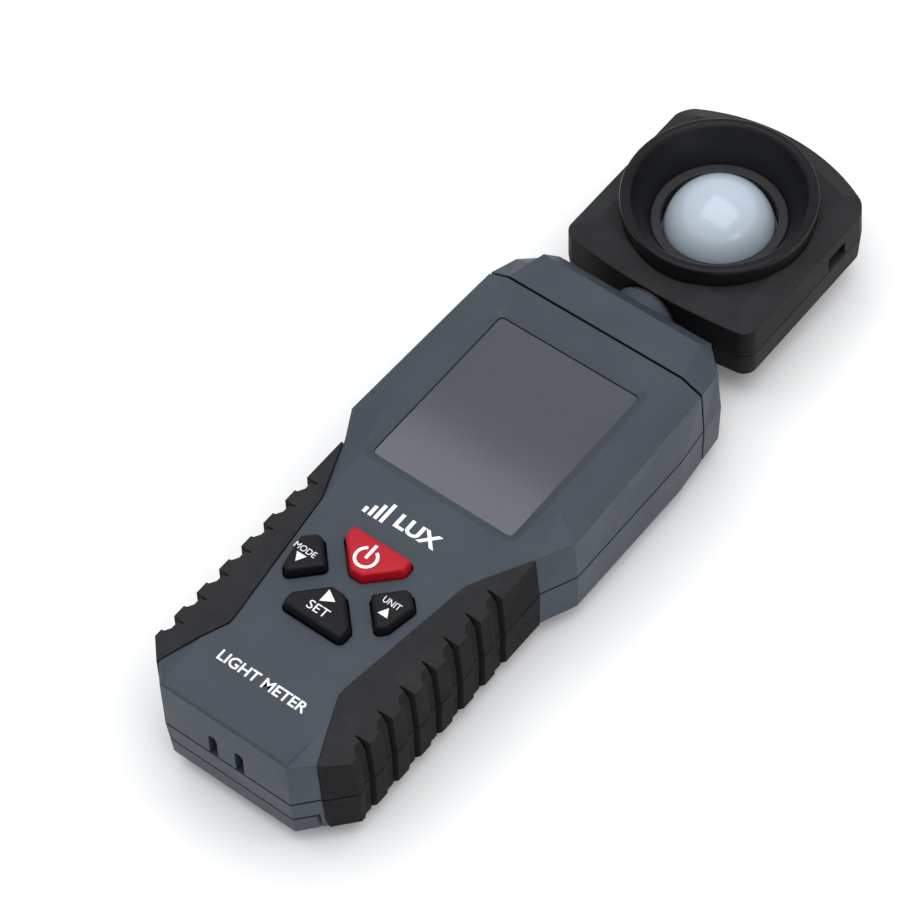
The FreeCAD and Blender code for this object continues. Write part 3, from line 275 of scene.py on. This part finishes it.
def moulded(name, base, rough=0.5, grain_height=0.000012, spread=0.10, edge=0.0004, edge_wear_and_highlight=0.35,
            specular=0.5, dust=0.0):
    """Spark-textured moulding: fine pits, faint mottling, edges polished by handling and painted paler as
    wear and as an edge highlight.
    """
    s = Shade(name, rough, specular=specular)
    r, g, b = base
    light = (r * (1 + spread), g * (1 + spread), b * (1 + spread * 0.9))
    body = s.ramp(s.noise(55.0, 4.0, 0.6), [(0.3, scaled(base, 1 - spread)), (0.7, light)])
    pits = s.noise(2600.0, 2.0, 0.6)
    speckle = s.remap(pits, 0.35, 0.7, 0.0, 0.12)
    body = s.mix(speckle, body, scaled(base, 1.5))
    # dust sets the dust film with painted top light, and switches on the painted shade in gaps and grooves.
    if dust:
        body = s.painted_crevice_shade(s.dust_film_and_top_light(body, dust), CREVICE_SHADE_REACH)
    # Edges are painted paler: partly wear, partly a painted edge highlight.
    worn_and_lit_edge = s.edge_wear_and_highlight_mask(edge, 0.02, 0.25)
    scuffed_and_lit_edge = s.math("MULTIPLY", worn_and_lit_edge, s.remap(s.noise(420.0, 3.0, 0.7), 0.35, 0.75, 0.2, 1.0))
    s.colour(s.mix(s.math("MULTIPLY", scuffed_and_lit_edge, edge_wear_and_highlight), body, scaled(base, 2.2, 0.02)))
    smooth = s.remap(s.noise(90.0, 3.0, 0.6), 0.3, 0.7, rough - 0.05, rough + 0.06)
    s.rough(s.math("SUBTRACT", smooth, s.math("MULTIPLY", worn_and_lit_edge, 0.10)))
    s.bump(pits, 0.5, grain_height, edge)
    return s.mat


def rubber(name, base, dust=0.0):
    """Soft over-moulded rubber: very matt, dusty flecks, fine stipple, crests painted paler as rubbing wear
    and as a painted highlight.
    """
    s = Shade(name, 0.62, specular=0.05)
    s.bsdf.inputs["Sheen Weight"].default_value = 0.015
    s.bsdf.inputs["Sheen Roughness"].default_value = 0.6
    body = s.ramp(s.noise(70.0, 4.0, 0.65), [(0.3, scaled(base, 0.85)), (0.72, scaled(base, 1.2))])
    flecks = s.remap(s.noise(260.0, 5.0, 0.75), 0.5, 0.8, 0.0, 0.08)
    body = s.mix(flecks, body, (0.11, 0.11, 0.115))
    # dust sets the dust film with painted top light, and switches on the painted shade in gaps and grooves.
    if dust:
        body = s.painted_crevice_shade(s.dust_film_and_top_light(body, dust), CREVICE_SHADE_REACH)
    # Edges are painted paler: partly wear, partly a painted edge highlight.
    worn_and_lit_edge = s.edge_wear_and_highlight_mask(0.00025, 0.02, 0.3)
    s.colour(s.mix(s.math("MULTIPLY", worn_and_lit_edge, 0.30), body, scaled(base, 2.0, 0.015)))
    s.rough(s.remap(s.noise(140.0, 3.0, 0.6), 0.3, 0.7, 0.62, 0.78))
    s.bump(s.noise(1900.0, 2.0, 0.55), 0.6, 0.00002, 0.00022)
    return s.mat


def paper_material():
    s = Shade("paper_floor", 0.85, specular=0.1)
    s.colour(s.ramp(s.noise(9.0, 3.0, 0.5), [(0.3, (0.90, 0.90, 0.90)), (0.7, (0.93, 0.93, 0.93))]))
    s.bump(s.noise(500.0, 3.0, 0.6), 0.15, 0.0002)
    return s.mat


def dome_material():
    """Opal acrylic: milky, lit from within, with a polished skin and a faint flow mottling."""
    s = Shade("opal_acrylic", 0.12, specular=0.5, coat=0.45, coat_rough=0.03)
    s.bsdf.inputs["Subsurface Weight"].default_value = 0.35
    s.bsdf.inputs["Subsurface Radius"].default_value = (1.0, 1.0, 1.0)
    s.bsdf.inputs["Subsurface Scale"].default_value = 0.003
    tone = s.ramp(s.noise(120.0, 3.0, 0.5), [(0.3, (0.425, 0.497, 0.575)), (0.7, (0.450, 0.522, 0.600))])
    # Painted light and shade: the dome is painted paler towards its foot and darker towards its top,
    # evening out the light from above.
    s.colour(s.mix(s.along("Z", 0.0175, 0.0258), (0.50, 0.575, 0.65), tone))
    s.rough(s.remap(s.noise(200.0, 2.0, 0.5), 0.3, 0.7, 0.09, 0.15))
    s.bump(s.noise(700.0, 2.0, 0.5), 0.08, 0.00001)
    return s.mat


def window_material():
    """Smoked window: nearly opaque while the display is off, polished, with faint wiping marks."""
    s = Shade("window_pane", 0.05, specular=0.6, ior=1.5)
    s.bsdf.inputs["Alpha"].default_value = 0.92
    # Painted reflection: the pane runs from darker at its -Y end to paler at its +Y end, standing in for
    # the lamp reflected along it.
    length = s.along("Y", DISPLAY_START, DISPLAY_END)
    tone = s.ramp(length, [(0.0, (0.048, 0.051, 0.066)), (1.0, (0.064, 0.066, 0.081))])
    cloud = s.noise(90.0, 3.0, 0.5)
    s.colour(s.mix(s.remap(cloud, 0.3, 0.7, 0.0, 0.25), tone, (0.068, 0.070, 0.082)))
    dust = s.noise(1400.0, 4.0, 0.7)
    s.rough(s.remap(dust, 0.45, 0.8, 0.07, 0.13))
    s.bump(dust, 0.05, 0.000003)
    return s.mat


def lcd_material():
    """Unpowered display: grey polariser with faint flecks and a slow tone change along its length."""
    s = Shade("lcd_polariser", 0.35, specular=0.3)
    # Painted reflection: the panel runs from paler at its -Y end to darker at its +Y end.
    tone = s.ramp(s.along("Y", -0.0225, 0.0140), [(0.0, (0.20, 0.21, 0.25)), (1.0, (0.165, 0.165, 0.185))])
    fleck = s.remap(s.noise(4000.0, 1.0, 0.5), 0.4, 0.7, 0.0, 0.05)
    s.colour(s.mix(fleck, tone, (0.4, 0.4, 0.43)))
    s.rough(s.remap(s.noise(80.0, 2.0, 0.5), 0.3, 0.7, 0.30, 0.40))
    s.bump(s.noise(3000.0, 1.0, 0.5), 0.1, 0.000005)
    return s.mat


def metal(name, base, rough, stretch=(1.0, 1.0, 14.0)):
    """Drawn or turned metal: fine lines along the work."""
    s = Shade(name, rough, metallic=1.0)
    lines = s.noise(600.0, 3.0, 0.6, stretch)
    s.colour(s.ramp(lines, [(0.3, scaled(base, 0.8)), (0.7, scaled(base, 1.1))]))
    s.rough(s.remap(lines, 0.3, 0.7, rough - 0.08, rough + 0.1))
    s.bump(lines, 0.25, 0.000015, 0.0001)
    return s.mat


def board_material():
    """Solder mask with copper tracks showing through as a slightly paler pattern."""
    s = Shade("solder_mask", 0.3, specular=0.5, coat=0.3)
    cells = s.node("ShaderNodeTexVoronoi", feature="DISTANCE_TO_EDGE", distance="MANHATTAN")
    cells.inputs["Scale"].default_value = 420.0
    s.link(s.coord, cells.inputs["Vector"])
    tracks = s.remap(cells.outputs["Distance"], 0.05, 0.08, 1.0, 0.0)
    s.colour(s.mix(tracks, (0.012, 0.075, 0.03), (0.03, 0.16, 0.06)))
    s.rough(s.remap(s.noise(200.0, 2.0, 0.5), 0.3, 0.7, 0.25, 0.36))
    s.bump(tracks, 0.3, 0.00003)
    return s.mat


def ink_material():
    s = Shade("printed_ink", 0.45, specular=0.4)
    speck = s.noise(3500.0, 3.0, 0.7)
    s.colour(s.ramp(speck, [(0.25, (0.66, 0.67, 0.68)), (0.5, (0.86, 0.87, 0.88))]))
    s.rough(s.remap(speck, 0.3, 0.7, 0.4, 0.52))
    s.bump(speck, 0.2, 0.000006)
    return s.mat


def cell_material():
    """Printed cell sleeve: dark body with a copper-coloured end band."""
    s = Shade("cell_sleeve", 0.3, metallic=0.6, coat=0.5)
    copper = (0.45, 0.22, 0.08)
    body = s.ramp(s.along("Y", -0.075, -0.028), [
        (0.0, copper), (0.24, copper), (0.25, (0.02, 0.02, 0.024)), (1.0, (0.03, 0.03, 0.034))])
    s.colour(s.mix(s.remap(s.noise(300.0, 3.0, 0.6), 0.4, 0.8, 0.0, 0.2), body, (0.2, 0.2, 0.2)))
    s.bump(s.noise(900.0, 2.0, 0.5), 0.1, 0.00001)
    return s.mat


def filter_material():
    s = Shade("correction_glass", 0.06, specular=0.7)
    s.bsdf.inputs["Alpha"].default_value = 0.6
    s.colour(s.ramp(s.noise(60.0, 2.0, 0.5), [(0.3, (0.16, 0.42, 0.26)), (0.7, (0.20, 0.50, 0.30))]))
    s.rough(s.remap(s.noise(200.0, 2.0, 0.5), 0.3, 0.7, 0.04, 0.1))
    return s.mat


def give(material, *names):
    for name in names:
        slots = NODES[name].data.materials
        if len(slots) == 0:
            slots.append(material)
        for i in range(len(slots)):
            slots[i] = material


def dress_case():
    # dust= sets a dust film with painted top light and the painted shade in gaps and grooves.
    give(moulded("body_plastic", BODY_BLUE, 0.47, edge=0.00028, edge_wear_and_highlight=0.16, specular=0.34,
                 grain_height=0.00002, dust=0.042),
         "front_cover", "rear_cover", "top_cap", "battery_door")
    give(moulded("head_plastic", HEAD_BLACK, 0.44, edge_wear_and_highlight=0.40, specular=0.06,
                 grain_height=0.00002, dust=0.11),
         "head_front_shell", "head_rear_shell", "head_latch")
    give(rubber("grip_rubber", GRIP_BLACK, dust=0.105),
         "grip_left_front", "grip_right_front", "grip_left_rear", "grip_right_rear")
    give(moulded("shade_plastic", SHADE_BLACK, 0.32, edge=0.0003, edge_wear_and_highlight=0.6, specular=0.20,
                 grain_height=0.000008),
         "light_shade")
    give(moulded("ring_plastic", RING_GREY, 0.5, edge_wear_and_highlight=0.2, specular=0.35), "dome_ring")
    give(moulded("red_key", KEY_RED, 0.33, spread=0.05, grain_height=0.000006, edge=0.0006,
                 edge_wear_and_highlight=0.05, specular=0.25),
         "power_button")
    give(moulded("black_key", KEY_BLACK, 0.36, grain_height=0.000006, edge=0.0006, edge_wear_and_highlight=0.25,
                 specular=0.16),
         "mode_button", "set_button", "unit_button")
    give(dome_material(), "diffuser_dome")
    give(window_material(), "display_window")


def dress_inside():
    give(lcd_material(), "lcd_panel")
    give(moulded("white_plastic", WHITE, 0.5, edge_wear_and_highlight=0.1), "lcd_frame", "backlight", "filter_holder")
    give(moulded("nylon", NYLON, 0.5, edge_wear_and_highlight=0.1), "lead_connector")
    give(moulded("bearing_plastic", (0.008, 0.008, 0.009), 0.4, edge_wear_and_highlight=0.2), "neck_bush", "neck_washer")
    give(moulded("black_package", (0.012, 0.012, 0.013), 0.4),
         "board_chips", "buzzer", "tact_switches", "photodiode")
    give(rubber("gasket_foam", (0.012, 0.012, 0.012)), "window_gasket", "zebra_strip")
    give(rubber("lead_sleeve", (0.02, 0.02, 0.02)), "body_lead", "head_lead")
    give(board_material(), "main_board", "sensor_board")
    give(metal("plated_steel", STEEL, 0.3),
         "case_screws", "board_screws", "head_screws", "battery_springs", "battery_contacts",
         "retaining_clip", "thrust_washer", "stop_plate")
    give(metal("turned_aluminium", ALUMINIUM, 0.28, stretch=(14.0, 1.0, 14.0)), "neck_shaft")
    give(cell_material(), "battery_cells")
    give(filter_material(), "colour_filter")


# ---- printed marks --------------------------------------------------------------------------------------
INK_LIFT = 0.00001
INK_DEPTH = 0.00003

# Where each mark lies on the front, X and Y in millimetres.
POWER_SIGN = (-0.7, -42.45)
MODE_WORD = (-10.15, -47.35)
MODE_ARROW = (-10.1, -48.4)
SET_WORD = (-0.65, -55.5)
SET_ARROW = (-0.4, -52.7)
UNIT_WORD = (8.85, -47.2)
UNIT_ARROW = (9.0, -48.3)
LEVEL_BARS = (-8.6, -34.2)    # foot of the first bar
FACE_WORD = (2.2, -32.0)
BASE_WORD = (0.0, -71.4)


def flat_mark(name, outline, place, z, body, material):
    """Thin printed shape from one closed outline, drawn about its place at height z."""
    curve = bpy.data.curves.new(name, "CURVE")
    curve.dimensions = "2D"
    curve.fill_mode = "BOTH"
    curve.extrude = INK_DEPTH
    spline = curve.splines.new("POLY")
    spline.points.add(len(outline) - 1)
    for point, (x, y) in zip(spline.points, outline):
        point.co = ((x + place[0]) * MM, (y + place[1]) * MM, 0.0, 1.0)
    spline.use_cyclic_u = True
    settle_mark(name, curve, z, body, material)


def settle_mark(name, curve, z, body, material):
    # Turn the curve into a mesh that lies on the surface and rides on its body.
    holder = bpy.data.objects.new(name + "_curve", curve)
    bpy.context.scene.collection.objects.link(holder)
    bpy.context.view_layer.update()
    graph = bpy.context.evaluated_depsgraph_get()
    mesh = bpy.data.meshes.new_from_object(holder.evaluated_get(graph))
    bpy.data.objects.remove(holder)
    mesh.transform(Matrix.Translation((0.0, 0.0, z - INK_DEPTH + INK_LIFT)))
    mesh.materials.clear()
    mesh.materials.append(material)
    mark = bpy.data.objects.new(name, mesh)
    bpy.context.scene.collection.objects.link(mark)
    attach(mark, body)
    return mark


def word(name, text, width, height, place, z, body, material, bold=0.0):
    """One printed word, stretched to its width and cap height about its place."""
    curve = bpy.data.curves.new(name, "FONT")
    curve.body = text
    curve.size = height * MM
    curve.align_x = "CENTER"
    curve.align_y = "CENTER"
    curve.offset = bold
    curve.extrude = INK_DEPTH
    mark = settle_mark(name, curve, z, body, material)
    xs = [v.co.x for v in mark.data.vertices]
    ys = [v.co.y for v in mark.data.vertices]
    grow_x = width * MM / (max(xs) - min(xs))
    grow_y = height * MM / (max(ys) - min(ys))
    middle_x = (max(xs) + min(xs)) / 2.0
    middle_y = (max(ys) + min(ys)) / 2.0
    for v in mark.data.vertices:
        v.co.x = place[0] * MM + (v.co.x - middle_x) * grow_x
        v.co.y = place[1] * MM + (v.co.y - middle_y) * grow_y


def arc_points(radius, start, end, steps=40):
    angles = [math.radians(start + (end - start) * i / steps) for i in range(steps + 1)]
    return [(radius * math.cos(angle), radius * math.sin(angle)) for angle in angles]


def power_sign(ink, top):
    # Open ring with an upright bar in its gap.
    ring = arc_points(2.3, 118, 422) + list(reversed(arc_points(1.7, 118, 422)))
    bar = [(-0.32, -0.2), (0.32, -0.2), (0.32, 3.0), (-0.32, 3.0)]
    flat_mark("power_ring", ring, POWER_SIGN, top, "power_key", ink)
    flat_mark("power_bar", bar, POWER_SIGN, top, "power_key", ink)


def key_arrow(key, outline, place, ink, top):
    flat_mark(key + "_arrow", outline, place, top, key + "_key", ink)


def key_word(key, width, height, place, ink, top):
    word(key + "_word", key.upper(), width, height, place, top, key + "_key", ink)


def level_bars(ink, face):
    # Four rising bars: a plain level sign.
    for i in range(4):
        x = 1.25 * i
        high = 1.3 + 1.05 * i
        bar = [(x, 0.0), (x + 0.75, 0.0), (x + 0.75, high), (x, high)]
        flat_mark("level_bar_%d" % i, bar, LEVEL_BARS, face, "housing", ink)


def add_marks():
    ink = ink_material()
    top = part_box("power_button")[1][2]
    power_sign(ink, top)
    key_arrow("mode", [(-1.05, 0.0), (1.05, 0.0), (0.0, -1.8)], MODE_ARROW, ink, top)
    key_word("mode", 4.5, 1.25, MODE_WORD, ink, top)
    key_arrow("set", [(-1.2, -1.4), (1.2, 0.0), (-1.2, 1.4)], SET_ARROW, ink, top)
    key_word("set", 4.3, 1.8, SET_WORD, ink, top)
    key_arrow("unit", [(-1.05, -1.8), (1.05, -1.8), (0.0, 0.0)], UNIT_ARROW, ink, top)
    key_word("unit", 3.6, 1.25, UNIT_WORD, ink, top)
    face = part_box("front_cover")[1][2]
    level_bars(ink, face)
    word("face_word", "LUX", 9.0, 3.1, FACE_WORD, face, "housing", ink, 0.00010)
    word("base_word", "LIGHT METER", 19.0, 2.2, BASE_WORD, face, "housing", ink, 0.00004)


dress_case()
dress_inside()
add_marks()
add_camera()
add_studio()
